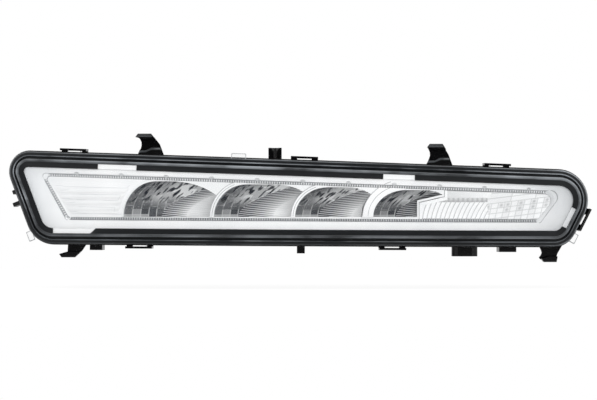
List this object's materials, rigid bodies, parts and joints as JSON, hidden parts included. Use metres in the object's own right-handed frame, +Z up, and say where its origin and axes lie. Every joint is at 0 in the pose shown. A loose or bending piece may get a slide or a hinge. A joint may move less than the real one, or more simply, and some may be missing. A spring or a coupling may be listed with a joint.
{
  "type": "daytime running light",
  "caption": "Long swept daytime running light with a clear cover over fluted reflector cups, a black rubber seal frame and a hooked rear housing with a connector socket.",
  "frame": {"origin": "on the middle of the bowed seal plane, where the rubber frame's back meets the cover's flange", "axes": "+X along the lamp to its right end seen from the front, -Y forward out of the cover, +Z up"},
  "size_m": [0.4071, 0.0746, 0.09],
  "materials": {
    "housing_plastic": "fine matte black",
    "clear_cover": "clear and glossy",
    "seal_rubber": "soft black",
    "sealant": "matte",
    "satin_silver": "satin metallised",
    "mirror_metal": "bright metallised plastic",
    "clear_optic": "clear and glossy",
    "board_white": "white solder mask",
    "board_green": "green solder mask",
    "light_chip": "phosphor under a clear dome",
    "sink_aluminium": "bent sheet",
    "black_component": "moulded black",
    "capacitor_can": "drawn can",
    "lead_insulation": "red insulation",
    "blade_metal": "tinned",
    "vent_fabric": "porous film",
    "screw_steel": "zinc plated"
  },
  "bodies": {
    "root": {"rear_housing": "housing_plastic", "outer_lens": "clear_cover", "perimeter_gasket": "seal_rubber", "lens_seal_bead": "sealant", "bezel": "satin_silver", "reflector_bank": "mirror_metal", "end_optic": "clear_optic", "led_board": "board_white", "led_1": "light_chip", "led_2": "light_chip", "led_3": "light_chip", "led_4": "light_chip", "heat_sink": "sink_aluminium", "driver_board": "board_green", "driver_coil": "black_component", "driver_capacitors": "capacitor_can", "driver_chip": "black_component", "board_leads": "lead_insulation", "connector_terminals": "blade_metal", "vent_cap": "black_component", "vent_membrane": "vent_fabric", "reflector_screws": "screw_steel", "heat_sink_screws": "screw_steel", "driver_board_screws": "screw_steel"}
  },
  "joints": []
}
